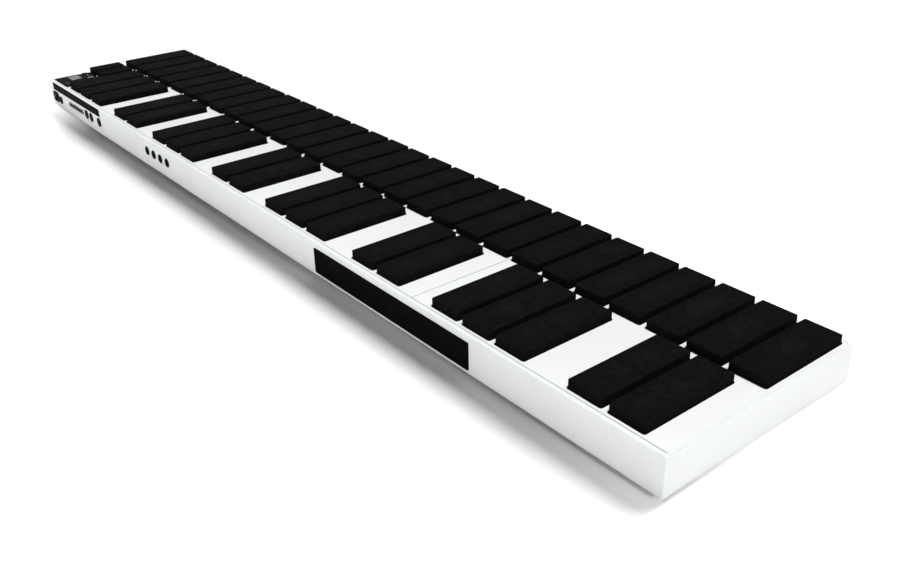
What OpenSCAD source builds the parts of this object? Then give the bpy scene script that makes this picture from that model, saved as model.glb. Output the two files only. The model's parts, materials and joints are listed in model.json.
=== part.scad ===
/* [Keyboard] */
// Distance from one natural bar to the next
bar_pitch = 44.45; // [43:0.05:46]
// Width of a bar along the keyboard
bar_w = 37.4; // [32:0.1:38]
// Length of a bar from the row gap to its outer end
bar_l = 108.2; // [100:0.1:110]
// Thickness of a rubber bar
bar_t = 8.2; // [5:0.1:12]
// Corner radius of a bar seen from above
bar_r = 1.6; // [0.5:0.1:4]
// Thickness of the force-sensing film under each bar
film_t = 0.5; // [0.3:0.1:1]
// How far the film shows around the foot of its bar
film_over = 0.9; // [0.6:0.1:2]
// Gap between the natural row and the accidental row
row_gap = 11.2; // [10:0.1:16]
// How far a hand-laid bar strays from its place
bar_wander = 0.35; // [0:0.05:0.6]

/* [Case] */
// Margin from the last natural bar to the end of the case
end_margin = 6.3; // [6:0.1:10]
// Margin from the ends of the bars to the long faces of the case
side_margin = 8.7; // [8:0.1:12]
// Height of the case without bars and feet
case_h = 40; // [40:0.5:44]
// Thickness of the front and back panels
wall = 4; // [3:0.5:4.5]
// Thickness of the two end panels
end_t = 3; // [2.5:0.1:4]
// Thickness of the deck plates
deck_t = 3; // [2:0.5:3]
// Thickness of the bottom plate
bottom_t = 2; // [1.5:0.5:2.5]
// Inward reach of the panels' ledges
ledge = 8; // [6:0.5:8]
// Thickness of the ledges
ledge_t = 3; // [2.5:0.5:3]
// Width of the groove around the deck plates
groove = 0.8; // [0.4:0.1:1]

/* [Feet] */
// Height of a rubber foot
foot_h = 6; // [4:0.5:10]
// Radius of a rubber foot
foot_r = 11; // [8:0.5:13]

/* [Sockets] */
// Radius of the hole that takes a quarter-inch plug
jack_r = 3.25; // [3.2:0.01:3.3]
// Distance from one jack to the next
jack_pitch = 20.9; // [20:0.1:21.5]
// Place of the jack row along the case
jack_x = -235.3; // [-240:0.1:-230]
// Radius of a round DIN socket's nose
din_r = 6.9; // [6.8:0.1:7.4]
// Width of the card slot
slot_w = 55; // [54:0.5:56]
// Height of the card slot
slot_h = 4.8; // [4.4:0.1:5]

/* [Plates] */
// Length of the name plate
plate_l = 257; // [200:1:280]
// Height of the name plate
plate_h = 29; // [24:0.5:30]
// Length of the legend strip over the sockets
strip_l = 194.5; // [180:0.5:196]
// Height of the legend strip
strip_h = 11.7; // [8:0.1:12]

/* [Controls] */
// Side of a push button
button_s = 8; // [7:0.1:8.2]
// Travel of a push button
button_travel = 1.5; // [0.8:0.1:1.5]
// Radius of the volume wheel
wheel_r = 11; // [9:0.1:11]
// How far the volume wheel stands out of the control plate
wheel_out = 1.8; // [1:0.1:2.5]
// Tilt of the power rocker to either side of level
rocker_tilt = 10; // [6:1:10]
// Radius of the power rocker
rocker_r = 6; // [5:0.1:6]

/* [Hidden] */
$fn = 48;

nat_n = 29;
case_l = (nat_n - 1) * bar_pitch + bar_w + 2 * end_margin;
case_d = 2 * (bar_l + row_gap / 2 + side_margin);
hx = case_l / 2;
hy = case_d / 2;
zb = foot_h;                    // underside of the case
zf = foot_h + bottom_t;         // inside floor
zd = foot_h + case_h;           // deck surface
zu = zd - deck_t;               // underside of the deck
zl = zu - ledge_t;              // underside of the upper ledge
in_y = hy - wall;               // inner face of the long panels
in_x = hx - end_t;              // inner face of the end panels
board_t = 1.6;
board_z = zf + 5;               // underside of the floor boards
board_top = board_z + board_t;
header_top = board_top + 9.4;   // top of the ribbon headers

// how far the raised end of the rocker stands out of the front face; the frame is centred on the whole
rocker_face = 3.6;
pivot_in = 1.6;
front_proud = rocker_face * cos(rocker_tilt) + rocker_r * sin(rocker_tilt) - pivot_in;
y_shift = front_proud / 2;
end_groove = 0.1;

function nat_x(k) = ((nat_n + 1) / 2 - k) * bar_pitch;
function acc_x(k) = (nat_n / 2 - k) * bar_pitch;
function is_acc(k) = let (m = k % 7) m == 1 || m == 2 || m == 4 || m == 5 || m == 6;
function stray(k, row) = bar_wander * sin(k * 137 + row * 71);
function jack_at(i) = jack_x + (i - 1.5) * jack_pitch;

row_y = row_gap / 2 + bar_l / 2;
seam_x = (nat_n / 2 - 7) * bar_pitch;
octave_x = [for (n = [1:3]) (nat_n / 2 - 7 * n) * bar_pitch];
pad_l = 50.9;
pad_w = 26;
pad_x = [for (i = [0, 1]) -(hx - end_margin) + pad_w / 2 + i * (pad_w + 6)];
pad_y = -(row_gap / 2 + pad_l / 2);

jack_z = zd - 17.8;
din_z = zd - 21.5;
din_x = [-492.7, -474.3, -443];
inlet_x = -604.5;
inlet_z = zd - 25;
switch_x = -625;
switch_z = zd - 23.2;
pivot_y = -hy + pivot_in;
slot_x = -536.3;
strip_in = 16.3;                // from the treble end to the legend strip
slot_z = zd - 21.5;

panel_x = 36 - hx;   // middle of the controls
panel_y = -87.35;
panel_w = 57.5;
panel_l = 58.3;
panel_t = 1.2;
disp_x = panel_x - 12.7;
disp_y = -88.5;
disp_w = 27.6;
disp_l = 19;
button_y = -69;
button_x = [for (i = [-1.5:1:1.5]) panel_x + i * 13];
lamp_x = panel_x + 15;
lamp_y = disp_y;
wheel_x = panel_x + 14.3;
wheel_y = -110;
wheel_w = 4;
wheel_z = zd + panel_t + wheel_out - wheel_r;
axle_r = 1.5;
control_z = zu - 7;             // top of the control board

deck_screw_x = [-540, -390, -150, -60, 90, 210, 310, 357, 480, 600];
bottom_screw_x = [for (i = [-3:3]) i * 200];
foot_x = [-590, -200, 200, 590];
foot_y = 92;

white = [0.90, 0.92, 0.91];
black = [0.07, 0.07, 0.07];
board_green = [0.10, 0.32, 0.20];

// ---------- shared shapes ----------

module seat() { translate([0, y_shift, 0]) children(); }

// box from its low corner to its high corner
module span(a, b) { translate(a) cube(b - a); }

module round_plate(w, l, r) {
  square([w - 2 * r, l], center = true);
  square([w, l - 2 * r], center = true);
  for (sx = [-1, 1], sy = [-1, 1])
    translate([sx * (w / 2 - r), sy * (l / 2 - r)]) circle(r);
}

module bar_blank(w, l) { linear_extrude(bar_t) round_plate(w, l, bar_r); }

module natural_bar(k) {
  translate([nat_x(k) + stray(k, 1) / 2, row_y + stray(k, 2), zd + film_t]) bar_blank(bar_w, bar_l);
}

module accidental_bar(k) {
  translate([acc_x(k) + stray(k, 3) / 2, -row_y + stray(k, 4), zd + film_t]) bar_blank(bar_w, bar_l);
}

module natural_octave(n) {
  color(black) seat() for (k = [7 * n - 6 : 7 * n]) natural_bar(k);
}

module accidental_octave(n) {
  color(black) seat() for (k = [7 * n - 6 : 7 * n]) if (is_acc(k)) accidental_bar(k);
}

// film under a bar, a little larger than the bar
module film(w, l) {
  translate([0, 0, zd]) linear_extrude(film_t) round_plate(w + 2 * film_over, l + 2 * film_over, bar_r + film_over);
}

// long wall with an upper ledge for the deck and a lower ledge for the bottom plate
module rail() {
  translate([-in_x, 0, zb]) rotate([90, 0, 90]) linear_extrude(2 * in_x) {
    square([wall, case_h]);
    translate([0, case_h - deck_t - ledge_t]) square([wall + ledge, ledge_t]);
    translate([0, bottom_t]) square([wall + ledge, ledge_t]);
  }
}

// holes in the ledges of a rail whose outer face is at y = 0
module rail_screw_holes() {
  for (x = deck_screw_x) translate([x, wall + ledge / 2, zl - 1]) cylinder(h = ledge_t + 2, r = 2.15);
  for (x = bottom_screw_x) translate([x, wall + ledge / 2, zf - 1]) cylinder(h = ledge_t + 2, r = 1.6);
}

module end_wall() {
  difference() {
    union() {
      span([in_x, -hy, zb], [hx, hy, zd]);
      span([in_x - 5, -(in_y - ledge - 0.6), zl], [in_x, in_y - ledge - 0.6, zu]);
    }
    // blind holes that take the screws through the corner posts
    for (sy = [-1, 1], z = [zf + 9, zl - 6])
      translate([in_x - 1, sy * (in_y - 5), z]) rotate([0, 90, 0]) cylinder(h = 1 + end_t - 0.8, r = 1.55);
  }
}

// blind holes that take the deck screws from below
module deck_holes(x0, x1) {
  for (x = deck_screw_x, sy = [-1, 1]) if (x > x0 && x < x1)
    translate([x, sy * (in_y - ledge / 2), zu - 1]) cylinder(h = 1 + deck_t - 0.8, r = 2);
}

module button_hole(x, y) { span([x - button_s / 2 - 0.35, y - button_s / 2 - 0.35, zu - 1], [x + button_s / 2 + 0.35, y + button_s / 2 + 0.35, zd + panel_t + 1]); }

// cap above the control plate with a flange that keeps it under the deck
module button_cap(x) {
  translate([x, button_y, 0]) {
    translate([0, 0, zu - 0.6]) linear_extrude(deck_t + panel_t + 0.6 + 2.4) round_plate(button_s, button_s, 0.8);
    span([-button_s / 2 - 1.2, -button_s / 2 - 1.2, zu - 1.5], [button_s / 2 + 1.2, button_s / 2 + 1.2, zu - 0.4]);
  }
}

// board with rows of parts and a ribbon header
module scan_board(n) {
  x = nat_x(7 * n - 3);
  color(board_green) seat() {
    span([x - 120, 20, board_z], [x + 120, 80, board_top]);
    span([x - 5, 37, board_top], [x + 5, 63, header_top]);
    for (i = [-2, -1, 1, 2]) span([x + i * 44 - 8, 40, board_top], [x + i * 44 + 8, 50, board_top + 2.4]);
    for (i = [-3:3]) span([x + i * 32 - 9, 70, board_top], [x + i * 32 + 9, 77, board_top + 5]);
  }
}

module rib(x, top) {
  difference() {
    union() {
      span([x - 1, -(in_y - ledge - 0.2), zf], [x + 1, in_y - ledge - 0.2, top]);
      span([x - 8, -(in_y - ledge - 0.2), top - 2], [x + 8, in_y - ledge - 0.2, top]);
      span([x - 8, -(in_y - ledge - 0.2), zf], [x + 8, in_y - ledge - 0.2, zf + 2]);
    }
    // windows for the ribbons
    span([x - 20, 34, header_top - 4], [x + 20, 66, header_top + 5]);
    span([x - 20, -100, board_top - 2], [x + 20, -72, board_top + 5]);
  }
}

module screw_up(z, head_r, head_h, shank_r, len) {
  translate([0, 0, z]) cylinder(h = head_h, r = head_r);
  translate([0, 0, z + head_h]) cylinder(h = len, r = shank_r);
}

// ---------- case ----------

module front_panel() {
  color(white) seat() difference() {
    translate([0, -hy, 0]) difference() {
      rail();
      rail_screw_holes();
    }
    for (i = [0:3]) translate([jack_at(i), -hy - 1, jack_z]) rotate([-90, 0, 0]) cylinder(h = wall + 2, r = 4.9);
    for (x = din_x) translate([x, -hy - 1, din_z]) rotate([-90, 0, 0]) cylinder(h = wall + 2, r = din_r + 0.15);
    translate([inlet_x, -hy - 1, inlet_z]) rotate([-90, 0, 0]) cylinder(h = wall + 2, r = 4.25);
    translate([switch_x, -hy - 1, switch_z]) rotate([-90, 0, 0]) cylinder(h = wall + 2, r = 7.6);
    span([slot_x - slot_w / 2 - 1.7, -hy - 1, slot_z - slot_h / 2 - 1], [slot_x + slot_w / 2 + 1.7, -in_y + 1, slot_z + slot_h / 2 + 1]);
    // ledge relieved for the volume wheel
    span([wheel_x - 14, -in_y, zl - 1], [wheel_x + 14, -in_y + ledge + 1, zu + 0.01]);
  }
}

module back_panel() {
  color(white) seat() mirror([0, 1, 0]) translate([0, -hy, 0]) difference() {
    rail();
    rail_screw_holes();
  }
}

module bass_end_panel() { color(white) seat() end_wall(); }

module treble_end_panel() { color(white) seat() mirror([1, 0, 0]) end_wall(); }

module bottom_plate() {
  color(white) seat() difference() {
    span([-in_x + 0.2, -in_y + 0.2, zb], [in_x - 0.2, in_y - 0.2, zf]);
    for (x = bottom_screw_x, sy = [-1, 1]) translate([x, sy * (in_y - ledge / 2), zb - 1]) {
      cylinder(h = bottom_t + 2, r = 1.65);
      translate([0, 0, 0.9]) cylinder(h = 1.6, r1 = 3.2, r2 = 1.65);
    }
    for (x = foot_x, sy = [-1, 1]) translate([x, sy * foot_y, zb - 1]) cylinder(h = bottom_t + 2, r = 2.05);
  }
}

module main_deck() {
  color(white) seat() difference() {
    span([-in_x + end_groove, -in_y + groove, zu], [seam_x - groove / 2, in_y - groove, zd]);
    deck_holes(-hx, seam_x);
    for (x = button_x) button_hole(x, button_y);
    span([disp_x - disp_w / 2 + 1.5, disp_y - disp_l / 2 + 1.5, zu - 1], [disp_x + disp_w / 2 - 1.5, disp_y + disp_l / 2 - 1.5, zd + 1]);
    translate([lamp_x, lamp_y, zu - 1]) cylinder(h = deck_t + 2, r = 1.6);
    span([wheel_x - 10.5, wheel_y - 2.5, zu - 1], [wheel_x + 10.5, wheel_y + 2.5, zd + 1]);
  }
}

module extension_deck() {
  color(white) seat() difference() {
    span([seam_x + groove / 2, -in_y + groove, zu], [in_x - end_groove, in_y - groove, zd]);
    deck_holes(seam_x, hx);
  }
}

module deck_splice_plate() {
  color("silver") seat() span([seam_x - 15, -(in_y - ledge - 0.2), zl], [seam_x + 15, in_y - ledge - 0.2, zu]);
}

module corner_posts() {
  color("silver") seat() for (sx = [-1, 1], sy = [-1, 1]) difference() {
    translate([sx * (in_x - 5), sy * (in_y - 5), zf + ledge_t]) translate([-5, -5, 0]) cube([10, 10, zl - zf - ledge_t]);
    for (z = [zf + 9, zl - 6]) translate([sx * (in_x - 5), sy * (in_y - 5), z]) rotate([0, 90, 0]) cylinder(h = 12, r = 1.6, center = true);
  }
}

module cross_ribs() {
  color("silver") seat() {
    rib(octave_x[0], zl);
    rib(octave_x[1], zu);
    rib(octave_x[2], zu);
  }
}

// ---------- bars ----------

module natural_bars_octave_1() { natural_octave(1); }
module natural_bars_octave_2() { natural_octave(2); }
module natural_bars_octave_3() { natural_octave(3); }
module natural_bars_octave_4() { natural_octave(4); }
module top_natural_bar() { color(black) seat() natural_bar(nat_n); }
module accidental_bars_octave_1() { accidental_octave(1); }
module accidental_bars_octave_2() { accidental_octave(2); }
module accidental_bars_octave_3() { accidental_octave(3); }
module accidental_bars_octave_4() { accidental_octave(4); }

module function_pads() {
  color(black) seat() for (x = pad_x) translate([x, pad_y, zd + film_t]) bar_blank(pad_w, pad_l);
}

module natural_sensor_films() {
  color([0.1, 0.1, 0.1]) seat() for (k = [1 : nat_n]) translate([nat_x(k), row_y, 0]) film(bar_w, bar_l);
}

module accidental_sensor_films() {
  color([0.1, 0.1, 0.1]) seat() for (k = [1 : nat_n - 1]) if (is_acc(k)) translate([acc_x(k), -row_y, 0]) film(bar_w, bar_l);
}

module function_pad_films() {
  color([0.1, 0.1, 0.1]) seat() for (x = pad_x) translate([x, pad_y, 0]) film(pad_w, pad_l);
}

// ---------- electronics ----------

module scan_board_octave_1() { scan_board(1); }
module scan_board_octave_2() { scan_board(2); }
module scan_board_octave_3() { scan_board(3); }
module scan_board_octave_4() { scan_board(4); }

module main_board() {
  color(board_green) seat() {
    span([-632, -109, board_z], [-430, -40, board_top]);
    span([-475, -64, board_top], [-465, -38 - 4, header_top]);
    span([-605, -74, board_top], [-575, -50, board_top + 3]);
    span([-560, -66, board_top], [-540, -46, board_top + 3]);
    span([-520, -66, board_top], [-490, -48, board_top + 3]);
    translate([-622, -52, board_top]) cylinder(h = 12, r = 5);
    translate([-622, -66, board_top]) cylinder(h = 12, r = 5);
  }
}

module jack_board() {
  color(board_green) seat() {
    span([jack_x - 42, -in_y + 1.5, jack_z - 7.6], [jack_x + 42, -in_y + 33, jack_z - 6]);
  }
}

module control_board() {
  color(board_green) seat() {
    span([panel_x - 27, -97.5, control_z - board_t], [panel_x + 27, -59.5, control_z]);
    for (x = button_x) span([x - 3, button_y - 3, control_z], [x + 3, button_y + 3, control_z + 5 - button_travel]);
  }
}

module board_spacers() {
  color("silver") seat() {
    for (n = [1:4], sx = [-1, 1], y = [25, 75]) translate([nat_x(7 * n - 3) + sx * 114, y, zf]) cylinder(h = board_z - zf, r = 3);
    for (x = [-625, -436], y = [-104, -45]) translate([x, y, zf]) cylinder(h = board_z - zf, r = 3);
    for (sx = [-1, 1]) translate([jack_x + sx * 36, -in_y + 12, zf]) cylinder(h = jack_z - 7.6 - zf, r = 3);
    for (x = [panel_x - 13, panel_x + 13]) translate([x, -61.6, control_z]) cylinder(h = zu - control_z, r = 1.6);
    for (x = [panel_x + 14, panel_x + 25]) translate([x, -94.5, control_z]) cylinder(h = zu - control_z, r = 1.8);
  }
}

module scan_ribbon() {
  color("lightgrey") seat() {
    span([-482, -66, header_top], [-458, 62, header_top + 0.8]);
    span([-482, 38, header_top], [nat_x(4) + 10, 62, header_top + 0.8]);
  }
}

module jack_ribbon() {
  color("lightgrey") seat() {
    span([-438, -98, board_top], [jack_x + 6.8, -84.5, board_top + 0.8]);
    span([jack_x + 6, -98, board_top], [jack_x + 6.8, -84.5, jack_z - 7.6]);
  }
}

module control_ribbon() {
  color("lightgrey") seat() span([panel_x - 8, -80.4, board_top], [panel_x + 8, -79.6, control_z - board_t]);
}

// ---------- control corner ----------

module control_plate() {
  color(black) seat() difference() {
    translate([panel_x + 0.25, panel_y, zd]) linear_extrude(panel_t) round_plate(panel_w, panel_l, 1.5);
    span([disp_x - disp_w / 2, disp_y - disp_l / 2, zd - 1], [disp_x + disp_w / 2, disp_y + disp_l / 2, zd + 3]);
    for (x = button_x) button_hole(x, button_y);
    translate([lamp_x, lamp_y, zd - 1]) cylinder(h = 4, r = 1.6);
    span([wheel_x - 8.2, wheel_y - 2.5, zd - 1], [wheel_x + 8.2, wheel_y + 2.5, zd + 3]);
  }
}

module display_window() {
  color([0.55, 0.58, 0.56]) seat()
    span([disp_x - disp_w / 2 + 0.1, disp_y - disp_l / 2 + 0.1, zd], [disp_x + disp_w / 2 - 0.1, disp_y + disp_l / 2 - 0.1, zd + panel_t + 0.3]);
}

module display_module() {
  color([0.45, 0.50, 0.42]) seat() {
    span([disp_x - disp_w / 2 - 1, disp_y - disp_l / 2 - 1, control_z], [disp_x + disp_w / 2 + 1, disp_y + disp_l / 2 + 1, zu]);
    span([disp_x - disp_w / 2 + 1.8, disp_y - disp_l / 2 + 1.8, zu - 1], [disp_x + disp_w / 2 - 1.8, disp_y + disp_l / 2 - 1.8, zd - 0.1]);
  }
}

module minus_button() { color(black) seat() button_cap(button_x[0]); }
module plus_button() { color(black) seat() button_cap(button_x[1]); }
module select_button() { color("gainsboro") seat() button_cap(button_x[2]); }
module store_button() { color(black) seat() button_cap(button_x[3]); }

module status_lamp() {
  color("firebrick") seat() translate([lamp_x, lamp_y, 0]) {
    translate([0, 0, control_z]) cylinder(h = zd + panel_t + 0.4 - control_z, r = 1.5);
    translate([0, 0, zd + panel_t + 0.4]) intersection() {
      sphere(r = 1.5);
      translate([-2, -2, 0]) cube(4);
    }
  }
}

// edge wheel with a ribbed rim, most of it under the deck
module volume_wheel() {
  color(black) seat() translate([wheel_x, wheel_y, wheel_z]) rotate([90, 0, 0]) difference() {
    cylinder(h = wheel_w, r = wheel_r, center = true);
    for (a = [0 : 10 : 350]) rotate([0, 0, a]) translate([wheel_r + 0.15, 0, 0]) cylinder(h = wheel_w + 1, r = 0.6, center = true);
    cylinder(h = wheel_w + 1, r = axle_r, center = true);
  }
}

module wheel_axle() {
  color("silver") seat() translate([wheel_x, wheel_y - wheel_w / 2, wheel_z]) rotate([-90, 0, 0]) cylinder(h = wheel_w + 8.4, r = axle_r);
}

// rotary control under the deck, with the hole that the axle turns in
module volume_control() {
  color([0.35, 0.35, 0.33]) seat() difference() {
    span([wheel_x - 7, wheel_y + 2.7, wheel_z - 7], [wheel_x + 7, wheel_y + 11.7, zu]);
    translate([wheel_x, wheel_y, wheel_z]) rotate([-90, 0, 0]) cylinder(h = 10.8, r = axle_r + 0.05);
  }
}

// ---------- sockets and switch ----------

module power_switch_housing() {
  color(black) seat() difference() {
    union() {
      translate([switch_x, -hy - 1.2, switch_z]) rotate([-90, 0, 0]) linear_extrude(1.2) round_plate(24, 16.6, 6);
      translate([switch_x, -hy - 0.1, switch_z]) rotate([-90, 0, 0]) cylinder(h = wall + 15.1, r = 7.5);
      for (i = [-1:1]) span([switch_x + i * 4.6 - 1.6, -in_y + 14, switch_z - 0.4], [switch_x + i * 4.6 + 1.6, -in_y + 23, switch_z + 0.4]);
    }
    translate([switch_x, -hy - 2, switch_z]) rotate([-90, 0, 0]) cylinder(h = 2 + pivot_in + 5, r = rocker_r + 0.9);
    translate([switch_x, pivot_y, switch_z]) cylinder(h = 16, r = 1.25, center = true);
  }
}

// round paddle with a dished face, on a pin across its middle
module power_rocker() {
  r = rocker_r;
  color(black) seat() translate([switch_x, pivot_y, switch_z]) rotate([0, 0, -rocker_tilt]) {
    intersection() {
      translate([0, 0, -r]) linear_extrude(2 * r)
        polygon([[-r, -rocker_face], [-r / 2, -rocker_face + 0.9], [0, -rocker_face + 1.2], [r / 2, -rocker_face + 0.9], [r, -rocker_face], [r, -0.4], [2.2, 3.4], [-2.2, 3.4], [-r, -0.4]]);
      translate([0, -10, 0]) rotate([-90, 0, 0]) cylinder(h = 20, r = r);
    }
    cylinder(h = 14.6, r = 1.2, center = true);
  }
}

module power_inlet() {
  color(black) seat() {
    translate([inlet_x, 0, inlet_z]) difference() {
      union() {
        translate([0, -hy - 1, 0]) rotate([-90, 0, 0]) cylinder(h = 1, r = 6.2);
        translate([0, -hy - 0.1, 0]) rotate([-90, 0, 0]) cylinder(h = wall + 0.1, r = 4.1);
        span([-4.6, -in_y, board_top - inlet_z], [4.6, -in_y + 12, 5]);
      }
      translate([0, -hy - 2, 0]) rotate([-90, 0, 0]) cylinder(h = 12, r = 2.9);
    }
    translate([inlet_x, -hy + 1, inlet_z]) rotate([-90, 0, 0]) cylinder(h = 9.2, r = 1);
  }
}

module card_slot_frame() {
  color([0.42, 0.44, 0.43]) seat() difference() {
    union() {
      translate([slot_x, -hy - 1, slot_z]) rotate([-90, 0, 0]) linear_extrude(1) round_plate(slot_w + 6.4, slot_h + 2.6, 1.5);
      span([slot_x - slot_w / 2 - 1.5, -hy - 0.1, slot_z - slot_h / 2 - 0.85], [slot_x + slot_w / 2 + 1.5, -in_y + 2, slot_z + slot_h / 2 + 0.85]);
    }
    span([slot_x - slot_w / 2, -hy - 2, slot_z - slot_h / 2], [slot_x + slot_w / 2, -in_y + 3, slot_z + slot_h / 2]);
  }
}

module card_connector() {
  color([0.2, 0.2, 0.2]) seat() difference() {
    span([slot_x - slot_w / 2 - 2.5, -in_y + 2, board_top], [slot_x + slot_w / 2 + 2.5, -in_y + 38, slot_z + slot_h / 2 + 2]);
    span([slot_x - slot_w / 2, -in_y + 1, slot_z - slot_h / 2], [slot_x + slot_w / 2, -in_y + 34, slot_z + slot_h / 2]);
  }
}

module din_sockets() {
  color([0.13, 0.13, 0.13]) seat() for (x = din_x) translate([x, 0, din_z]) difference() {
    union() {
      translate([0, -hy - 0.6, 0]) rotate([-90, 0, 0]) cylinder(h = wall + 0.6, r = din_r);
      span([-9, -in_y, board_top - din_z], [9, -in_y + 13, 9.6]);
    }
    // ring-shaped gap for the plug's shell
    translate([0, -hy - 1, 0]) rotate([-90, 0, 0]) difference() {
      cylinder(h = 8, r = din_r - 0.6);
      translate([0, 0, -1]) cylinder(h = 10, r = din_r - 1.9);
    }
    // key of the shell
    span([-1.2, -hy - 1, -din_r + 1.1], [1.2, -hy + 7, -din_r + 2.6]);
    // five contacts
    for (a = [0 : 45 : 180]) rotate([0, -a, 0]) translate([3.3, -hy - 1, 0]) rotate([-90, 0, 0]) cylinder(h = 7, r = 0.85);
  }
}

module jack_sockets() {
  color([0.08, 0.08, 0.08]) seat() for (i = [0:3]) translate([jack_at(i), 0, jack_z]) difference() {
    union() {
      translate([0, -hy - 1, 0]) rotate([-90, 0, 0]) cylinder(h = wall + 1, r = 4.7);
      span([-8, -in_y, -6], [8, -in_y + 28, 6.5]);
    }
    translate([0, -hy - 4, 0]) rotate([-90, 0, 0]) cylinder(h = 34, r = jack_r);
  }
}

module jack_nuts() {
  color([0.10, 0.10, 0.10]) seat() for (i = [0:3]) translate([jack_at(i), -hy, jack_z]) rotate([90, 0, 0]) difference() {
    union() {
      cylinder(h = 0.5, r = 6.2);
      cylinder(h = 0.9, r = 5.9);
    }
    translate([0, 0, -1]) cylinder(h = 5, r = 4.75);
    for (a = [0, 90]) rotate([0, 0, a]) span([-7, -0.5, 0.5], [7, 0.5, 2]);
  }
}

// ---------- plates ----------

module legend_strip() {
  color(black) seat() span([-hx + strip_in, -hy - 0.6, zd - 0.5 - strip_h], [-hx + strip_in + strip_l, -hy, zd - 0.5]);
}

module name_plate() {
  color(black) seat() translate([294.7, -hy - 1, zd - 21.65]) rotate([-90, 0, 0]) linear_extrude(1) round_plate(plate_l, plate_h, 1.5);
}

// ---------- feet and fasteners ----------

module rubber_feet() {
  color([0.12, 0.12, 0.12]) seat() for (x = foot_x, sy = [-1, 1]) translate([x, sy * foot_y, 0]) difference() {
    cylinder(h = foot_h, r = foot_r);
    translate([0, 0, -1]) cylinder(h = foot_h + 2, r = 2.1);
    translate([0, 0, -1]) cylinder(h = 3.8, r = 5.2);
  }
}

module foot_screws() {
  color("silver") seat() for (x = foot_x, sy = [-1, 1]) translate([x, sy * foot_y, 0]) screw_up(0.9, 4.5, 1.9, 1.95, foot_h + bottom_t - 2.8 + 1.5);
}

module bottom_screws() {
  color("silver") seat() for (x = bottom_screw_x, sy = [-1, 1]) translate([x, sy * (in_y - ledge / 2), zb]) {
    cylinder(h = 1.4, r1 = 2.95, r2 = 1.5);
    cylinder(h = bottom_t + ledge_t + 1, r = 1.5);
  }
}

module deck_screws() {
  color("silver") seat() for (x = deck_screw_x, sy = [-1, 1]) translate([x, sy * (in_y - ledge / 2), 0])
    screw_up(zl - 2.4, 3.6, 2.4, 1.9, ledge_t + deck_t - 1.2);
}

module end_panel_screws() {
  color("silver") seat() for (sx = [0, 1], sy = [-1, 1], z = [zf + 9, zl - 6]) mirror([sx, 0, 0])
    translate([in_x - 12, sy * (in_y - 5), z]) rotate([0, 90, 0]) {
      cylinder(h = 2, r = 2.9);
      cylinder(h = 14, r = 1.5);
    }
}

front_panel();
back_panel();
bass_end_panel();
treble_end_panel();
bottom_plate();
main_deck();
extension_deck();
deck_splice_plate();
corner_posts();
cross_ribs();
natural_bars_octave_1();
natural_bars_octave_2();
natural_bars_octave_3();
natural_bars_octave_4();
top_natural_bar();
accidental_bars_octave_1();
accidental_bars_octave_2();
accidental_bars_octave_3();
accidental_bars_octave_4();
function_pads();
natural_sensor_films();
accidental_sensor_films();
function_pad_films();
scan_board_octave_1();
scan_board_octave_2();
scan_board_octave_3();
scan_board_octave_4();
main_board();
jack_board();
control_board();
board_spacers();
scan_ribbon();
jack_ribbon();
control_ribbon();
control_plate();
display_window();
display_module();
minus_button();
select_button();
plus_button();
store_button();
status_lamp();
volume_wheel();
wheel_axle();
volume_control();
power_switch_housing();
power_rocker();
power_inlet();
card_slot_frame();
card_connector();
din_sockets();
jack_sockets();
jack_nuts();
legend_strip();
name_plate();
rubber_feet();
foot_screws();
bottom_screws();
deck_screws();
end_panel_screws();
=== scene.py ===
import json
import math

import bmesh
import bpy
from mathutils import Matrix, Vector


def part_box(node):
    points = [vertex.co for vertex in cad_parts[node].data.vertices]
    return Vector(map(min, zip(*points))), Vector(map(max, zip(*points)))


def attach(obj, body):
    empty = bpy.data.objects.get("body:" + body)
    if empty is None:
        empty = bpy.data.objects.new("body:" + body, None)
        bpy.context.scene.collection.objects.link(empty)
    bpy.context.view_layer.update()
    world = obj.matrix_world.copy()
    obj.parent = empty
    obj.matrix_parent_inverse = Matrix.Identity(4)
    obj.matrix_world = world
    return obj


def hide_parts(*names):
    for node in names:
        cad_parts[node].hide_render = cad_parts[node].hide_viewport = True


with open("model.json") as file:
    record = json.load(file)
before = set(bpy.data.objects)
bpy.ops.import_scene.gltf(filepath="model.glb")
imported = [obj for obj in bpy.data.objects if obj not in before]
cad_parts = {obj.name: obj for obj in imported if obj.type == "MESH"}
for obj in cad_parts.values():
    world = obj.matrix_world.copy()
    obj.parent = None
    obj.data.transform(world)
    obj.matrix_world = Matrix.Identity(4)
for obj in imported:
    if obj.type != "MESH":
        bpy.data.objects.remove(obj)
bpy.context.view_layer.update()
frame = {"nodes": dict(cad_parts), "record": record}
NODES = frame["nodes"]
scene = bpy.context.scene

HY = 0.1225                                  # half the depth of the case
HX = 0.6473                                  # half the length of the case
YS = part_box("front_panel")[0].y + HY         # the case's middle plane, a little behind the frame's
DECK = 0.046                                 # height of the deck surface


# ------------------------------------------------------------------ node helpers

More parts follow.
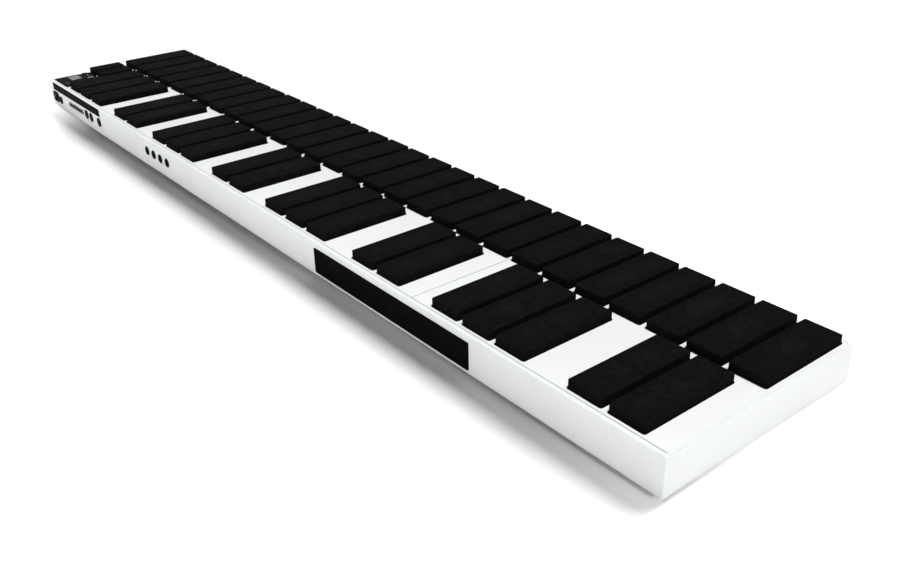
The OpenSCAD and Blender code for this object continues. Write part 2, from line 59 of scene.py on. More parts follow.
class Shader:
    """A principled material with a few helpers for procedural detail in metres of the object's own frame."""

    def __init__(self, name):
        self.m = bpy.data.materials.new(name)
        self.m.use_nodes = True
        self.t = self.m.node_tree
        self.t.nodes.clear()
        self.out = self.t.nodes.new("ShaderNodeOutputMaterial")
        self.p = self.t.nodes.new("ShaderNodeBsdfPrincipled")
        self.t.links.new(self.p.outputs[0], self.out.inputs[0])
        self.tc = self.t.nodes.new("ShaderNodeTexCoord")
        self.co = self.tc.outputs["Object"]

    def link(self, a, b):
        self.t.links.new(a, b)

    def set(self, **kw):
        for k, v in kw.items():
            self.p.inputs[k.replace("_", " ")].default_value = v

    def stretched(self, scale, co=None):
        n = self.t.nodes.new("ShaderNodeMapping")
        n.inputs["Scale"].default_value = scale
        self.link(co or self.co, n.inputs["Vector"])
        return n.outputs[0]

    def noise(self, scale, detail=3.0, rough=0.55, co=None, distortion=0.0):
        n = self.t.nodes.new("ShaderNodeTexNoise")
        n.inputs["Scale"].default_value = scale
        n.inputs["Detail"].default_value = detail
        n.inputs["Roughness"].default_value = rough
        n.inputs["Distortion"].default_value = distortion
        self.link(co or self.co, n.inputs["Vector"])
        return n.outputs["Fac"]

    def voronoi(self, scale, co=None, feature="F1"):
        n = self.t.nodes.new("ShaderNodeTexVoronoi")
        n.feature = feature
        n.inputs["Scale"].default_value = scale
        self.link(co or self.co, n.inputs["Vector"])
        return n.outputs["Distance"]

    def ramp(self, fac, a, b, lo=0.0, hi=1.0):
        n = self.t.nodes.new("ShaderNodeMapRange")
        n.inputs["From Min"].default_value = lo
        n.inputs["From Max"].default_value = hi
        n.inputs["To Min"].default_value = a
        n.inputs["To Max"].default_value = b
        self.link(fac, n.inputs["Value"])
        return n.outputs["Result"]

    def colours(self, fac, stops):
        n = self.t.nodes.new("ShaderNodeValToRGB")
        e = n.color_ramp.elements
        e[0].position, e[0].color = stops[0][0], (*stops[0][1], 1)
        e[1].position, e[1].color = stops[-1][0], (*stops[-1][1], 1)
        for pos, c in stops[1:-1]:
            x = e.new(pos)
            x.color = (*c, 1)
        self.link(fac, n.inputs["Fac"])
        return n.outputs["Color"]

    def math(self, op, a, b=None):
        n = self.t.nodes.new("ShaderNodeMath")
        n.operation = op
        for i, v in enumerate((a, b)):
            if v is None:
                continue
            if isinstance(v, (int, float)):
                n.inputs[i].default_value = v
            else:
                self.link(v, n.inputs[i])
        return n.outputs[0]

    def mix(self, fac, a, b):
        n = self.t.nodes.new("ShaderNodeMix")
        n.data_type = "RGBA"
        for sock, v in ((n.inputs[0], fac), (n.inputs[6], a), (n.inputs[7], b)):
            if isinstance(v, tuple):
                sock.default_value = (*v, 1)
            elif isinstance(v, (int, float)):
                sock.default_value = v
            else:
                self.link(v, sock)
        return n.outputs[2]

    def xyz(self):
        n = self.t.nodes.new("ShaderNodeSeparateXYZ")
        self.link(self.co, n.inputs[0])
        return n.outputs

    def bump(self, height, strength, dist):
        n = self.t.nodes.new("ShaderNodeBump")
        n.inputs["Strength"].default_value = strength
        n.inputs["Distance"].default_value = dist
        self.link(height, n.inputs["Height"])
        prev = self.p.inputs["Normal"].links
        if prev:
            self.link(prev[0].from_socket, n.inputs["Normal"])
        self.link(n.outputs[0], self.p.inputs["Normal"])

    def base(self, c):
        self.link(c, self.p.inputs["Base Color"])

    def rough(self, r):
        self.link(r, self.p.inputs["Roughness"])


def grey(v, tint=(1.0, 1.0, 1.0)):
    return tuple(v * t for t in tint)


# ------------------------------------------------------------------ materials

def white_coat(name, lo, hi, rough=(0.36, 0.48)):
    """Powder coat: orange peel, faint clouding, a little dust and greyer rubbed edges along the top of the case."""
    s = Shader(name)
    blotch = s.noise(4.5, 5.0, 0.6)
    base = s.colours(blotch, [(0.32, lo), (0.68, hi)])
    dust = s.ramp(s.noise(38.0, 6.0, 0.7), 0.0, 0.06, 0.56, 0.86)
    base = s.mix(dust, base, grey(0.62, (0.99, 1.0, 0.97)))
    x, y, z = s.xyz()
    rim = s.ramp(z, 0.0, 1.0, DECK - 0.0009, DECK - 0.0002)
    ends = s.ramp(s.math("ABSOLUTE", x), 0.0, 1.0, HX - 0.0011, HX - 0.0003)
    sides = s.ramp(s.math("ABSOLUTE", s.math("SUBTRACT", y, YS)), 0.0, 1.0, HY - 0.0011, HY - 0.0003)
    rim = s.math("MULTIPLY", rim, s.math("MAXIMUM", ends, sides))
    rub = s.math("MULTIPLY", rim, s.ramp(s.noise(21.0, 5.0, 0.75), 0.0, 0.5, 0.52, 0.68))
    base = s.mix(rub, base, grey(0.50, (1.0, 1.0, 0.99)))
    # darker and warmer in blotches over the lowest few millimetres of the case
    foot = s.ramp(z, 0.20, 0.0, 0.006, 0.0115)
    base = s.mix(s.math("MULTIPLY", foot, s.noise(90.0, 5.0, 0.7)), base, grey(0.34, (1.0, 0.97, 0.92)))
    s.base(base)
    s.rough(s.ramp(s.noise(55.0, 4.0, 0.6), rough[0], rough[1]))
    s.bump(s.noise(620.0, 2.0, 0.6), 0.10, 0.00025)
    s.bump(s.noise(9.0, 2.0, 0.5), 0.03, 0.002)
    s.set(Specular_IOR_Level=0.35)
    return s.m


def rubber(name, lo, hi, spec, grain=1.0, strikes=None):
    """Matt black rubber with a fine pebble grain. strikes gives the worn middles of a row of bars: (pitch, shift, row y)."""
    s = Shader(name)
    fine = s.noise(780.0, 3.0, 0.7)
    mid = s.noise(165.0, 4.0, 0.65)
    cell = s.voronoi(900.0)
    mix = s.math("ADD", s.math("MULTIPLY", fine, 0.45), s.math("MULTIPLY", mid, 0.55))
    base = s.colours(mix, [(0.34, lo), (0.50, tuple((a + b) / 2 for a, b in zip(lo, hi))), (0.68, hi)])
    rough = s.ramp(mid, 0.62, 0.86, 0.3, 0.7)
    if strikes:
        pitch, shift, row = strikes
        x, y, _ = s.xyz()
        u = s.math("SUBTRACT", s.math("FRACT", s.math("ADD", s.math("DIVIDE", x, pitch), shift)), 0.5)
        v = s.math("DIVIDE", s.math("SUBTRACT", y, row), 0.052)
        d = s.math("ADD", s.math("POWER", s.math("DIVIDE", s.math("ABSOLUTE", u), 0.33), 2.0), s.math("POWER", s.math("ABSOLUTE", v), 2.0))
        worn = s.math("MULTIPLY", s.ramp(d, 1.0, 0.0, 0.05, 1.0), s.ramp(s.noise(45.0, 6.0, 0.7), 0.0, 1.0, 0.42, 0.66))
        scuff = s.noise(1.0, 5.0, 0.75, co=s.stretched((420.0, 60.0, 200.0)))
        worn = s.math("MULTIPLY", worn, s.ramp(scuff, 0.3, 1.0, 0.35, 0.65))
        base = s.mix(s.math("MULTIPLY", worn, 0.45), base, tuple(2.1 * c for c in hi))
        rough = s.math("SUBTRACT", rough, s.math("MULTIPLY", worn, 0.12))
    s.base(base)
    s.rough(rough)
    s.bump(s.math("ADD", fine, s.math("MULTIPLY", cell, 0.6)), 0.30 * grain, 0.0005)
    s.bump(s.noise(26.0, 3.0, 0.5), 0.10, 0.0012)
    s.set(Specular_IOR_Level=spec)
    return s.m


def plastic(name, lo, hi, rough=(0.35, 0.5), spec=0.4, grain=900.0, depth=0.12):
    s = Shader(name)
    s.base(s.colours(s.noise(120.0, 4.0, 0.6), [(0.3, lo), (0.7, hi)]))
    s.rough(s.ramp(s.noise(70.0, 4.0, 0.6), rough[0], rough[1], 0.3, 0.7))
    s.bump(s.noise(grain, 2.0, 0.6), depth, 0.0002)
    s.set(Specular_IOR_Level=spec)
    return s.m


def metal(name, lo, hi, rough=(0.22, 0.4), along=(40.0, 900.0, 900.0)):
    s = Shader(name)
    brushed = s.noise(1.0, 4.0, 0.6, co=s.stretched(along))
    s.base(s.colours(brushed, [(0.3, lo), (0.7, hi)]))
    s.rough(s.ramp(brushed, rough[0], rough[1], 0.3, 0.7))
    s.bump(brushed, 0.06, 0.0001)
    s.set(Metallic=1.0)
    return s.m


def board(name):
    s = Shader(name)
    xyz = s.xyz()
    tracks = s.noise(1.0, 3.0, 0.8, co=s.stretched((70.0, 480.0, 480.0)))
    s.base(s.colours(tracks, [(0.46, (0.012, 0.075, 0.035)), (0.52, (0.03, 0.16, 0.075)), (0.60, (0.02, 0.11, 0.05))]))
    s.rough(s.ramp(tracks, 0.28, 0.42))
    s.bump(tracks, 0.15, 0.0002)
    return s.m


def ribbon(name):
    s = Shader(name)
    cells = s.noise(1.0, 1.0, 0.4, co=s.stretched((3.0, 780.0, 780.0)))
    s.base(s.colours(cells, [(0.4, (0.34, 0.35, 0.36)), (0.6, (0.52, 0.53, 0.54))]))
    s.rough(s.ramp(cells, 0.45, 0.6))
    s.bump(cells, 0.3, 0.0004)
    return s.m


def laminate(name, marks=None):
    """Satin black sheet. marks gives plain pale dividing lines along X: (first, pitch, width, low z, high z)."""
    s = Shader(name)
    base = s.colours(s.noise(60.0, 5.0, 0.65), [(0.3, (0.0026, 0.0027, 0.0027)), (0.7, (0.0048, 0.0049, 0.0049))])
    if marks:
        first, pitch, width, z0, z1 = marks
        x, _, z = s.xyz()
        ph = s.math("FRACT", s.math("DIVIDE", s.math("SUBTRACT", x, first), pitch))
        line = s.math("LESS_THAN", ph, width / pitch)
        line = s.math("MULTIPLY", line, s.math("GREATER_THAN", z, z0))
        line = s.math("MULTIPLY", line, s.math("LESS_THAN", z, z1))
        base = s.mix(s.math("MULTIPLY", line, s.ramp(s.noise(300.0), 0.5, 1.0)), base, grey(0.045))
    s.base(base)
    s.rough(s.ramp(s.noise(90.0, 4.0, 0.6), 0.36, 0.52, 0.3, 0.7))
    s.bump(s.noise(1100.0, 2.0, 0.6), 0.08, 0.0002)
    s.set(Specular_IOR_Level=0.005)
    return s.m


def film(name):
    s = Shader(name)
    s.base(s.colours(s.noise(200.0, 3.0, 0.6), [(0.3, (0.0030, 0.0030, 0.0029)), (0.7, (0.0055, 0.0055, 0.0053))]))
    s.rough(s.ramp(s.noise(90.0), 0.45, 0.6))
    s.set(Specular_IOR_Level=0.03)
    return s.m


def lcd(name):
    s = Shader(name)
    s.base(s.colours(s.noise(260.0, 3.0, 0.5), [(0.3, (0.080, 0.090, 0.081)), (0.7, (0.100, 0.110, 0.099))]))
    s.rough(s.ramp(s.noise(300.0), 0.35, 0.5))
    return s.m


def glass(name, lo, hi):
    """Clear pane whose cut edges are blacked out; lo and hi are its corners."""
    s = Shader(name)
    base = s.colours(s.noise(30.0, 3.0, 0.5), [(0.3, (0.90, 0.94, 0.91)), (0.7, (0.95, 0.97, 0.95))])
    x, y, _ = s.xyz()
    for v, a, b in ((x, lo.x, hi.x), (y, lo.y, hi.y)):
        edge = s.ramp(s.math("ABSOLUTE", s.math("SUBTRACT", v, (a + b) / 2)), 0.0, 1.0, (b - a) / 2 - 0.0006, (b - a) / 2 - 0.0003)
        base = s.mix(edge, base, grey(0.004))
    s.base(base)
    s.rough(s.ramp(s.noise(60.0, 4.0, 0.6), 0.02, 0.08))
    s.set(Transmission_Weight=1.0, IOR=1.45)
    return s.m


def lamp(name):
    s = Shader(name)
    s.base(s.colours(s.noise(400.0), [(0.3, (0.050, 0.005, 0.004)), (0.7, (0.075, 0.008, 0.006))]))
    s.rough(s.ramp(s.noise(300.0), 0.08, 0.16))
    s.set(Specular_IOR_Level=0.6)
    return s.m


M = {
    "white_case": white_coat("white_powder_coat", (0.778, 0.797, 0.786), (0.818, 0.838, 0.826)),
    "bar_rubber": rubber("bar_rubber", (0.0014, 0.0017, 0.0014), (0.0062, 0.0069, 0.0061), 0.008),
    "foot_rubber": rubber("foot_rubber", (0.010, 0.010, 0.010), (0.022, 0.022, 0.022), 0.3),
    "sensor_film": film("sensor_film"),
    "circuit_board": board("circuit_board"),
    "bright_steel": metal("bright_steel", (0.50, 0.51, 0.52), (0.68, 0.69, 0.70)),
    "bare_aluminium": metal("bare_aluminium", (0.60, 0.61, 0.62), (0.74, 0.75, 0.76), (0.35, 0.5)),
    "ribbon_grey": ribbon("ribbon_grey"),
    "black_plastic": plastic("black_plastic", (0.005, 0.005, 0.005), (0.010, 0.010, 0.010), (0.4, 0.55), 0.03),
    "display_glass": glass("display_glass", *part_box("display_window")),
    "display_grey": lcd("display_grey"),
    "lamp_red": lamp("lamp_red"),
    "rocker_black": plastic("rocker_black", (0.004, 0.004, 0.004), (0.008, 0.008, 0.008), (0.3, 0.42), 0.05),
    "slot_grey": plastic("slot_grey", (0.18, 0.185, 0.18), (0.24, 0.245, 0.24)),
    "socket_black": plastic("socket_black", (0.004, 0.004, 0.004), (0.008, 0.008, 0.008), (0.4, 0.55), 0.02),
    "black_nut": plastic("black_nut", (0.005, 0.005, 0.005), (0.009, 0.009, 0.009), (0.35, 0.5), 0.04),
    "black_plate": laminate("black_laminate"),
    "knob_black": plastic("knob_black", (0.020, 0.020, 0.020), (0.034, 0.034, 0.034), (0.4, 0.55), 0.08),
    "button_grey": plastic("button_grey", (0.11, 0.115, 0.11), (0.15, 0.155, 0.15), (0.35, 0.5), 0.15),
    "button_black": plastic("button_black", (0.004, 0.004, 0.004), (0.008, 0.008, 0.008), (0.4, 0.55), 0.02),
}
PRINT = plastic("pale_print", (0.36, 0.37, 0.36), (0.46, 0.47, 0.46), (0.5, 0.65), 0.2)
GHOST = plastic("segment_grey", (0.046, 0.052, 0.046), (0.060, 0.066, 0.060), (0.4, 0.55), 0.1)
PITCH = 0.04445                              # from one natural bar to the next
ROW_Y = 0.05970                              # middle of a row of bars, from the case's middle plane
# The bars use copies of the pads' black rubber painted lighter, the accidentals' copy most: painted light that
# brightens each row of bars. The worn middles are real wear.
BAR = {
    "natural": rubber("natural_bar_rubber", (0.0012, 0.0015, 0.0012), (0.0073, 0.0081, 0.0072), 0.008, 1.0, (PITCH, 0.5, YS + ROW_Y)),
    "accidental": rubber("accidental_bar_rubber", (0.0013, 0.0016, 0.0013), (0.0078, 0.0086, 0.0077), 0.008, 1.0, (PITCH, 0.0, YS - ROW_Y)),
    "pad": M["bar_rubber"],
}
strip_lo, strip_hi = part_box("legend_strip")
M_LEGEND = laminate("legend_laminate", (strip_lo.x + 0.0050, 0.0136, 0.0014, strip_lo.z + 0.0030, strip_hi.z - 0.0030))

SLOT = {e["node"]: e["material_slot"] for e in frame["record"]["subparts"]}


def dress(o, material):
    o.data.materials.clear()
    o.data.materials.append(material)


for name, o in NODES.items():
    dress(o, M_LEGEND if name == "legend_strip" else M[SLOT[name]])


# ------------------------------------------------------------------ edges of the carried-over parts

def soften(name, width, segments=2, round_part=False, outer=False):
    """Welds a carried-over mesh and rounds its edges. Flat parts keep flat faces, round ones are shaded smooth.
    With outer, only the long edges of the part's outer face along the row are rounded."""
    o = NODES[name]
    att = o.data.attributes.get("custom_normal")
    if att is not None:
        o.data.attributes.remove(att)
    for p in o.data.polygons:
        p.use_smooth = round_part
    w = o.modifiers.new("weld", "WELD")
    w.merge_threshold = 1e-6
    b = o.modifiers.new("edge", "BEVEL")
    b.width = width
    b.segments = segments
    b.limit_method = "ANGLE"
    b.angle_limit = math.radians(32)
    if outer:
        lo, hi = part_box(name)
        face_y = lo.y if lo.y + hi.y < 2 * YS else hi.y
        rim = [v.index for v in o.data.vertices
               if abs(v.co.y - face_y) < 1e-5 and min(abs(v.co.z - lo.z), abs(v.co.z - hi.z)) < 1e-5]
        o.vertex_groups.new(name="outer_edges").add(rim, 1.0, "REPLACE")
        b.limit_method = "VGROUP"
        b.vertex_group = "outer_edges"
    b.harden_normals = round_part
    b.use_clamp_overlap = True


soften("front_panel", 0.0006, 3, outer=True)
for n in ("back_panel", "bass_end_panel", "treble_end_panel"):
    soften(n, 0.0006, 3)
for n in ("main_deck", "extension_deck", "bottom_plate"):
    soften(n, 0.0004)
for n in ("name_plate", "legend_strip", "control_plate", "display_window", "card_slot_frame", "card_connector"):
    soften(n, 0.00022)
for n in ("minus_button", "plus_button", "select_button", "store_button"):
    soften(n, 0.0006, 3, True)
for n in ("power_switch_housing", "power_rocker"):
    soften(n, 0.00035, 2, True)
for n in ("jack_nuts", "power_inlet", "volume_wheel", "rubber_feet"):
    soften(n, 0.0002, 2, True)


# ------------------------------------------------------------------ rubber bars

def bar_mesh(bm, cx, cy, z0, w, l, t, r=0.0016, edge=0.0005, foot=0.0004):
    """A moulded bar: rounded corners in plan, a soft top edge and a slightly tucked-in foot."""
    def ring(inset, z):
        out = []
        rr = max(r - inset, 0.0003)
        hw, hl = w / 2 - inset, l / 2 - inset
        for qx, qy, a0 in ((1, 1, 0.0), (-1, 1, 90.0), (-1, -1, 180.0), (1, -1, 270.0)):
            for i in range(6):
                a = math.radians(a0 + 18.0 * i)
                out.append(bm.verts.new((cx + qx * (hw - rr) + rr * math.cos(a), cy + qy * (hl - rr) + rr * math.sin(a), z)))
        return out

    prof = [(foot, z0), (0.0, z0 + 0.0008), (0.0, z0 + t - edge)]
    for i in range(1, 5):
        a = math.radians(90.0 * i / 4)
        prof.append((edge * (1 - math.cos(a)), z0 + t - edge + edge * math.sin(a)))
    rings = [ring(i, z) for i, z in prof]
    n = len(rings[0])
    for a, b in zip(rings, rings[1:]):
        for i in range(n):
            j = (i + 1) % n
            f = bm.faces.new((a[i], a[j], b[j], b[i]))
            f.smooth = True
    top = bm.faces.new(rings[-1])
    top.smooth = False
    bot = bm.faces.new(list(reversed(rings[0])))
    bot.smooth = False


def islands(o):
    """Boxes of the separate solids in a node's mesh, found by joining points that share a place or an edge."""
    parent = list(range(len(o.data.vertices)))

    def find(i):
        while parent[i] != i:
            parent[i] = parent[parent[i]]
            i = parent[i]
        return i

    seen = {}
    for v in o.data.vertices:
        key = tuple(round(c, 6) for c in v.co)
        if key in seen:
            parent[find(v.index)] = find(seen[key])
        else:
            seen[key] = v.index
    for e in o.data.edges:
        a, b = e.vertices
        parent[find(a)] = find(b)
    groups = {}
    for v in o.data.vertices:
        groups.setdefault(find(v.index), []).append(v.co)
    out = []
    for pts in groups.values():
        lo = Vector((min(p.x for p in pts), min(p.y for p in pts), min(p.z for p in pts)))
        hi = Vector((max(p.x for p in pts), max(p.y for p in pts), max(p.z for p in pts)))
        out.append((lo, hi))
    return sorted(out, key=lambda b: -b[0].x)


def piece(name, bm, material, body="case"):
    me = bpy.data.meshes.new(name)
    bm.to_mesh(me)
    bm.free()
    o = bpy.data.objects.new(name, me)
    scene.collection.objects.link(o)
    o.data.materials.append(material)
    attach(o, body)
    return o


BAR_NODES = (
    ["natural_bars_octave_%d" % i for i in (1, 2, 3, 4)] + ["top_natural_bar"]
    + ["accidental_bars_octave_%d" % i for i in (1, 2, 3, 4)] + ["function_pads"]
)
for node in BAR_NODES:
    bm = bmesh.new()
    for lo, hi in islands(NODES[node]):
        bar_mesh(bm, (lo.x + hi.x) / 2, (lo.y + hi.y) / 2, lo.z, hi.x - lo.x, hi.y - lo.y, hi.z - lo.z)
    kind = "accidental" if node.startswith("accidental") else "pad" if node == "function_pads" else "natural"
    o = piece("moulded_" + node, bm, BAR[kind])
    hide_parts(node)


# ------------------------------------------------------------------ small printed and fitted details

def prism(bm, outline, z0, z1, m=None):
    """A closed prism over an outline that runs counter-clockwise."""
    m = m or Matrix()
    lo = [bm.verts.new(m @ Vector((x, y, z0))) for x, y in outline]
    hi = [bm.verts.new(m @ Vector((x, y, z1))) for x, y in outline]
    n = len(outline)
    bm.faces.new(hi)
    bm.faces.new(list(reversed(lo)))
    for i in range(n):
        j = (i + 1) % n
        bm.faces.new((lo[i], lo[j], hi[j], hi[i]))


def loop_ring(bm, profile, loop, m=None):
    """A closed ring: loop(inset) gives an outline, profile lists (inset, z) round the ring's section."""
    m = m or Matrix()
    rows = [[bm.verts.new(m @ Vector((x, y, z))) for x, y in loop(inset)] for inset, z in profile]
    n = len(rows[0])
    for k in range(len(rows)):
        a, b = rows[k], rows[(k + 1) % len(rows)]
        for i in range(n):
            j = (i + 1) % n
            bm.faces.new((a[i], a[j], b[j], b[i]))


def circle(r, n=32):
    return [(r * math.cos(2 * math.pi * i / n), r * math.sin(2 * math.pi * i / n)) for i in range(n)]


def rounded(cx, cy, w, l, r, inset=0.0):
    out = []
    hw, hl, rr = w / 2 - inset, l / 2 - inset, max(r - inset, 0.0001)
    for qx, qy, a0 in ((1, 1, 0.0), (-1, 1, 90.0), (-1, -1, 180.0), (1, -1, 270.0)):
        for i in range(5):
            a = math.radians(a0 + 22.5 * i)
            out.append((cx + qx * (hw - rr) + rr * math.cos(a), cy + qy * (hl - rr) + rr * math.sin(a)))
    return out


def bezel(bm, cx, cy, w, l, r, band, z0, z1):
    e = 0.3 * (z1 - z0)
    prof = [(0.0, z0), (0.0, z1 - e), (e, z1), (band - e, z1), (band, z1 - e), (band, z0)]
    loop_ring(bm, prof, lambda inset: rounded(cx, cy, w, l, r, inset))


def middle(node):
    lo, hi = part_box(node)
    return (lo + hi) / 2, hi - lo


# frame of the display and of the wheel's slot
disp, disp_s = middle("display_window")
plate_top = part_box("control_plate")[1].z
wheel, wheel_s = middle("volume_wheel")
bm = bmesh.new()
bezel(bm, disp.x, disp.y, disp_s.x + 0.0026, disp_s.y + 0.0026, 0.0022, 0.0019, plate_top - 0.0002, plate_top + 0.0006)
bezel(bm, wheel.x, wheel.y, 0.0188, 0.0072, 0.0012, 0.0011, plate_top - 0.0002, plate_top + 0.0005)
piece("control_bezels", bm, M["black_plastic"])

# black border printed on the back of the display's window
back_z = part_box("display_window")[0].z
bm = bmesh.new()
loop_ring(bm, [(0.0, back_z + 0.00002), (0.0, back_z + 0.00007), (0.0018, back_z + 0.00007), (0.0018, back_z + 0.00002)],
          lambda inset: rounded(disp.x, disp.y, disp_s.x - 0.0002, disp_s.y - 0.0002, 0.0024, inset))
piece("display_border", bm, M["black_plastic"])

# unlit segments of a three-digit display, under its window
face_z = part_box("display_module")[1].z
bm = bmesh.new()
for d in (-1, 0, 1):
    cx, cy, w, h, b = disp.x + d * 0.0082, disp.y, 0.0050, 0.0094, 0.00042
    for kind, x, y in (("h", 0, 1), ("h", 0, 0), ("h", 0, -1), ("v", -1, 0.5), ("v", 1, 0.5), ("v", -1, -0.5), ("v", 1, -0.5)):
        px, py = cx + x * w / 2, cy + y * h / 2
        half = (w if kind == "h" else h / 2) / 2 - 0.00022
        pts = [(-half, 0), (-half + b, -b), (half - b, -b), (half, 0), (half - b, b), (-half + b, b)]
        if kind == "v":
            pts = [(-v, u) for u, v in pts]
        prism(bm, [(px + u, py + v) for u, v in pts], face_z + 0.000005, face_z + 0.00005)
piece("display_segments", bm, GHOST)

# scale beside the wheel and short marks beside the buttons, printed on the plate
bm = bmesh.new()
for i in range(7):
    x = wheel.x + (i - 3) * 0.0022
    prism(bm, rounded(x, wheel.y + 0.0049 + 0.00012 * i, 0.0005, 0.0010 + 0.00024 * i, 0.0001), plate_top - 0.00005, plate_top + 0.00005)
for n in ("minus_button", "plus_button", "select_button", "store_button"):
    c, size = middle(n)
    prism(bm, rounded(c.x, c.y - size.y / 2 - 0.00135 + 0.0012, 0.0036, 0.0004, 0.0001), plate_top - 0.00005, plate_top + 0.00005)
piece("plate_print", bm, PRINT)

# signs on the buttons
for n in ("minus_button", "plus_button", "select_button", "store_button"):
    c, size = middle(n)
    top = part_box(n)[1].z
    z0, z1 = top - 0.00005, top + 0.00007
    bm = bmesh.new()
    at = Matrix.Translation((c.x, c.y, 0))
    if n == "minus_button":
        prism(bm, rounded(0, 0, 0.0036, 0.0007, 0.0002), z0, z1, at)
    elif n == "plus_button":
        a, b = 0.0018, 0.00035
        prism(bm, [(-a, -b), (-b, -b), (-b, -a), (b, -a), (b, -b), (a, -b), (a, b), (b, b), (b, a), (-b, a), (-b, b), (-a, b)], z0, z1, at)
    elif n == "select_button":
        loop_ring(bm, [(0.0, z0), (0.0, z1), (0.0006, z1), (0.0006, z0)], lambda inset: circle(0.0018 - inset), at)
    else:
        prism(bm, circle(0.0013), z0, z1, at)
    piece(n.replace("button", "sign"), bm, M["black_plastic"] if n == "select_button" else PRINT, n)

# index line across the rim of the volume wheel
bm = bmesh.new()
turn = Matrix.Translation((wheel.x, wheel.y, wheel.z)) @ Matrix.Rotation(math.radians(-5.0), 4, "Y")
prism(bm, rounded(0, 0, 0.00055, wheel_s.y - 0.0005, 0.0001), 0.01085, 0.01107, turn)
piece("wheel_index", bm, PRINT, "volume_wheel")

# bar and ring on the two halves of the power rocker's face
sw = Vector((middle("power_switch_housing")[0].x, -HY + 0.0016 + YS, middle("power_rocker")[0].z))
rock = Matrix.Translation(sw) @ Matrix.Rotation(math.radians(-10.0), 4, "Z")
bm = bmesh.new()
for side in (-1, 1):
    slope = -math.atan2(0.9, 3.0) * side
    face = rock @ Matrix.Translation((side * 0.0044, -0.0036 + 0.3 * 0.0016, 0)) @ Matrix.Rotation(slope, 4, "Z") @ Matrix.Rotation(math.radians(90), 4, "X")
    if side < 0:
        prism(bm, rounded(0, 0, 0.0005, 0.0024, 0.00015), -0.00006, 0.00006, face)
    else:
        loop_ring(bm, [(0.0, -0.00006), (0.0, 0.00006), (0.0004, 0.00006), (0.0004, -0.00006)], lambda inset: circle(0.0012 - inset), face)
piece("rocker_signs", bm, PRINT, "power_rocker")

# plated sleeve over the pin of the power inlet
inlet, inlet_s = middle("power_inlet")
bm = bmesh.new()
pin = Matrix.Translation((-0.6045, YS - HY + 0.0009, DECK - 0.025)) @ Matrix.Rotation(math.radians(90), 4, "X")
rows = [(0.0, 0.00035), (0.00045, 0.00012), (0.00085, -0.00010), (0.00106, -0.0005), (0.00106, -0.0085)]
prev = None
n = 24
for r, z in rows:
    if r == 0.0:
        cur = [bm.verts.new(pin @ Vector((0, 0, z)))]
    else:
        cur = [bm.verts.new(pin @ Vector((x, y, z))) for x, y in circle(r, n)]
    if prev is not None:
        for i in range(n):
            j = (i + 1) % n
            if len(prev) == 1:
                f = bm.faces.new((prev[0], cur[i], cur[j]))
            else:
                f = bm.faces.new((prev[i], cur[i], cur[j], prev[j]))
            f.smooth = True
    prev = cur
bm.faces.new(list(reversed(prev)))
piece("inlet_pin_sleeve", bm, M["bright_steel"])


# ------------------------------------------------------------------ stage, light and camera

TOP = ((0.185, 0.02, 1.0), 3.50, 34.0)              # direction, strength and angle of the overhead light on the object
CARD = ((0.15, -1.0, 0.12), 0.46, 40.0)            # the white card in front of the object
SWEEP = (((-0.32, 0.68, 1.0), 1.37, 34.0),         # the row of lights behind the object, on the floor it stands on
         ((-0.04, 0.68, 1.0), 1.36, 34.0),
         ((0.24, 0.68, 1.0), 1.37, 34.0))
FILL = (("treble_fill", (-0.75, -0.95, 1.00), (-0.690, -0.150, 0.0), 0.140, 150.0),     # at, onto, radius and watts
        ("middle_fill", (0.29, -0.95, 1.00), (0.290, -0.140, 0.0), 0.260, 10.0),
        ("bass_fill", (0.80, -0.95, 1.00), (0.705, -0.060, 0.0), 0.15, 40.0),
        ("end_fill", (1.75, -0.22, 0.62), (0.690, 0.050, 0.0), 0.20, 150.0))
BAND = (0.15, 0.30, 2.30, 0.03)                    # sine of the elevation where the band ends, and the two strengths


def floor_material():
    s = Shader("studio_floor")
    s.base(s.colours(s.noise(0.8, 2.0, 0.5), [(0.3, (0.925, 0.93, 0.925)), (0.7, (0.945, 0.95, 0.945))]))
    s.rough(s.ramp(s.noise(3.0), 0.75, 0.9))
    s.set(Specular_IOR_Level=0.1)
    return s.m


bm = bmesh.new()
bmesh.ops.create_grid(bm, x_segments=2, y_segments=2, size=14.0)
me = bpy.data.meshes.new("studio_floor")
bm.to_mesh(me)
bm.free()
floor = bpy.data.objects.new("studio_floor", me)
scene.collection.objects.link(floor)
floor.data.materials.append(floor_material())

world = bpy.data.worlds.new("studio")
scene.world = world
world.use_nodes = True
wt = world.node_tree
bg = wt.nodes["Background"]
bg.inputs["Color"].default_value = (1.0, 1.0, 0.995, 1)
# a bright band low around the object and a dim ceiling, as in a white cove
wco = wt.nodes.new("ShaderNodeTexCoord")
wsep = wt.nodes.new("ShaderNodeSeparateXYZ")
wmap = wt.nodes.new("ShaderNodeMapRange")
wmap.interpolation_type = "SMOOTHSTEP"
wmap.inputs["From Min"].default_value = BAND[0]
wmap.inputs["From Max"].default_value = BAND[1]
wmap.inputs["To Min"].default_value = BAND[2]
wmap.inputs["To Max"].default_value = BAND[3]
wt.links.new(wco.outputs["Generated"], wsep.inputs[0])
wt.links.new(wsep.outputs["Z"], wmap.inputs["Value"])
wt.links.new(wmap.outputs["Result"], bg.inputs["Strength"])


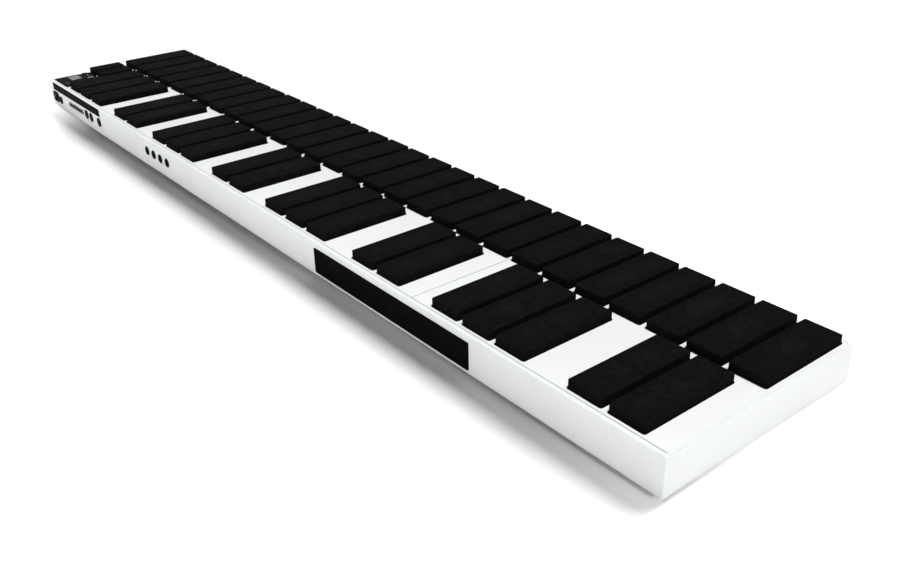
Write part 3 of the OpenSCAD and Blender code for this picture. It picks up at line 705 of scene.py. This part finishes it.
def sun(name, towards, strength, angle, group, bounces=12):
    """A distant softbox that lights the members of one group."""
    d = bpy.data.lights.new(name, "SUN")
    d.energy = strength
    d.angle = math.radians(angle)
    d.cycles.max_bounces = bounces
    o = bpy.data.objects.new(name, d)
    scene.collection.objects.link(o)
    o.location = Vector(towards) * 3.0
    o.rotation_mode = "QUATERNION"
    o.rotation_quaternion = Vector(towards).to_track_quat("Z", "Y")
    o.light_linking.receiver_collection = group
    return o


on_floor = bpy.data.collections.new("on_floor")
on_floor.objects.link(floor)
on_object = bpy.data.collections.new("on_object")
on_object.objects.link(floor)
on_object.collection_objects[0].light_linking.link_state = "EXCLUDE"
sun("overhead_softbox", *TOP, on_object)
sun("front_card", *CARD, on_object, 0)
for i, (towards, strength, angle) in enumerate(SWEEP):
    sun("sweep_softbox_%d" % (i + 1), towards, strength, angle, on_floor, 1)


def spot(name, at, onto, radius, watts, group):
    """A soft-edged lamp that fills in a round patch of one group."""
    d = bpy.data.lights.new(name, "SPOT")
    way = Vector(onto) - Vector(at)
    d.energy = watts
    d.shadow_soft_size = 0.12
    d.spot_size = 2 * math.atan(radius / way.length)
    d.spot_blend = 1.0
    d.cycles.max_bounces = 0                 # no light thrown back onto the case
    o = bpy.data.objects.new(name, d)
    scene.collection.objects.link(o)
    o.location = at
    o.rotation_mode = "QUATERNION"
    o.rotation_quaternion = way.to_track_quat("-Z", "Y")
    o.light_linking.receiver_collection = group
    return o


for name, at, onto, radius, watts in FILL:
    spot(name, at, onto, radius, watts, on_floor)

cam_data = bpy.data.cameras.new("camera")
cam_data.sensor_width = 36.0
cam_data.sensor_fit = "HORIZONTAL"
cam_data.lens = 981.53 / 900.0 * 36.0
cam_data.clip_start, cam_data.clip_end = 0.01, 100.0
cam = bpy.data.objects.new("camera", cam_data)
scene.collection.objects.link(cam)
fwd = Vector((-0.69030687, 0.54413774, -0.47685484)).normalized()
up = Vector((-0.36145445, 0.31157641, 0.87878941))
right = fwd.cross(up).normalized()
up = right.cross(fwd).normalized()
cam.matrix_world = Matrix((
    (right.x, up.x, -fwd.x, 0.99630),
    (right.y, up.y, -fwd.y, -0.59383 + YS),
    (right.z, up.z, -fwd.z, 0.44614 + DECK),
    (0, 0, 0, 1),
))
scene.camera = cam
scene.view_settings.view_transform = "Standard"
scene.view_settings.look = "None"
